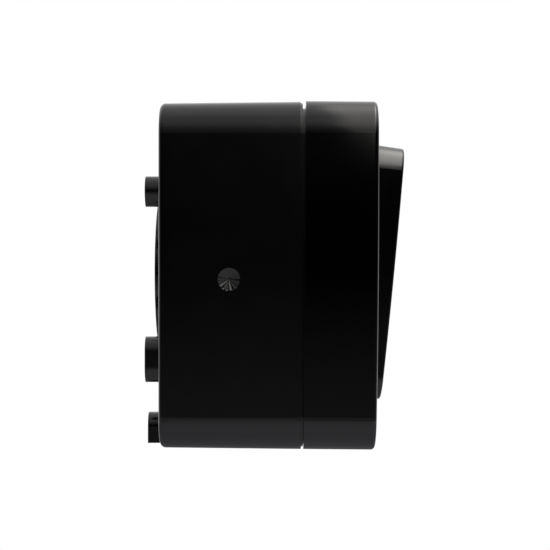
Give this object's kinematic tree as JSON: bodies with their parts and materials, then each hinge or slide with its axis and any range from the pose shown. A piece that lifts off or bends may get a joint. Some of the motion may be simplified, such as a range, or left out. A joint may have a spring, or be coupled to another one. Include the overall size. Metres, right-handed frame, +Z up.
{
  "type": "surface mounted light switch",
  "caption": "Square surface mounted light switch: deep back box on wall feet, glossy cover frame and one wide two-position rocker, with a snap-action changeover mechanism inside.",
  "frame": {"origin": "centre of the square case in the wall plane, where the feet end", "axes": "+Z up, +Y into the wall, so the rocker faces -Y and +X is right as seen from the front"},
  "size_m": [0.0808, 0.0607, 0.0809],
  "materials": {
    "box_plastic": "satin, fine moulded grain",
    "cover_plastic": "gloss",
    "rocker_plastic": "gloss",
    "insert_plastic": "moulded",
    "plated_steel": "zinc plated",
    "brass": "stamped",
    "contact_silver": "silver contact"
  },
  "bodies": {
    "housing": {"back_box": "box_plastic", "cover_frame": "cover_plastic", "support_plate": "plated_steel", "insert_base": "insert_plastic", "insert_lid": "insert_plastic", "pivot_axle": "plated_steel", "fixed_contact_tips": "contact_silver", "plate_screws": "plated_steel", "lid_screws": "plated_steel", "common_terminal": "brass", "common_cage": "plated_steel", "common_terminal_screw": "plated_steel", "upper_terminal": "brass", "upper_cage": "plated_steel", "upper_terminal_screw": "plated_steel", "lower_terminal": "brass", "lower_cage": "plated_steel", "lower_terminal_screw": "plated_steel"},
    "rocker": {"rocker_button": "rocker_plastic", "rocker_cradle": "insert_plastic", "toggle_spring": "plated_steel"},
    "plunger": {"plunger": "insert_plastic"},
    "seesaw": {"moving_contact": "brass", "moving_contact_tips": "contact_silver"}
  },
  "joints": [
    {"name": "rocker_tilt", "type": "hinge", "parent": "housing", "child": "rocker", "pos_m": [0, -0.05, 0.0011], "axis": [-1, 0, 0], "range_deg": [0, 11]},
    {"name": "contact_tilt", "type": "hinge", "parent": "housing", "child": "seesaw", "pos_m": [0, -0.031, 0.0011], "axis": [1, 0, 0], "range_deg": [0, 11]},
    {"name": "plunger_slide", "type": "slide", "parent": "rocker", "child": "plunger", "axis": [0, -0.9954, -0.0958], "range_m": [0, 0.0006], "stiffness_N_per_m": 200, "springref_m": -0.002, "deforming": ["toggle_spring"]}
  ],
  "couplings": [
    {"joint": "contact_tilt", "follows": "rocker_tilt", "ratio": 1}
  ]
}
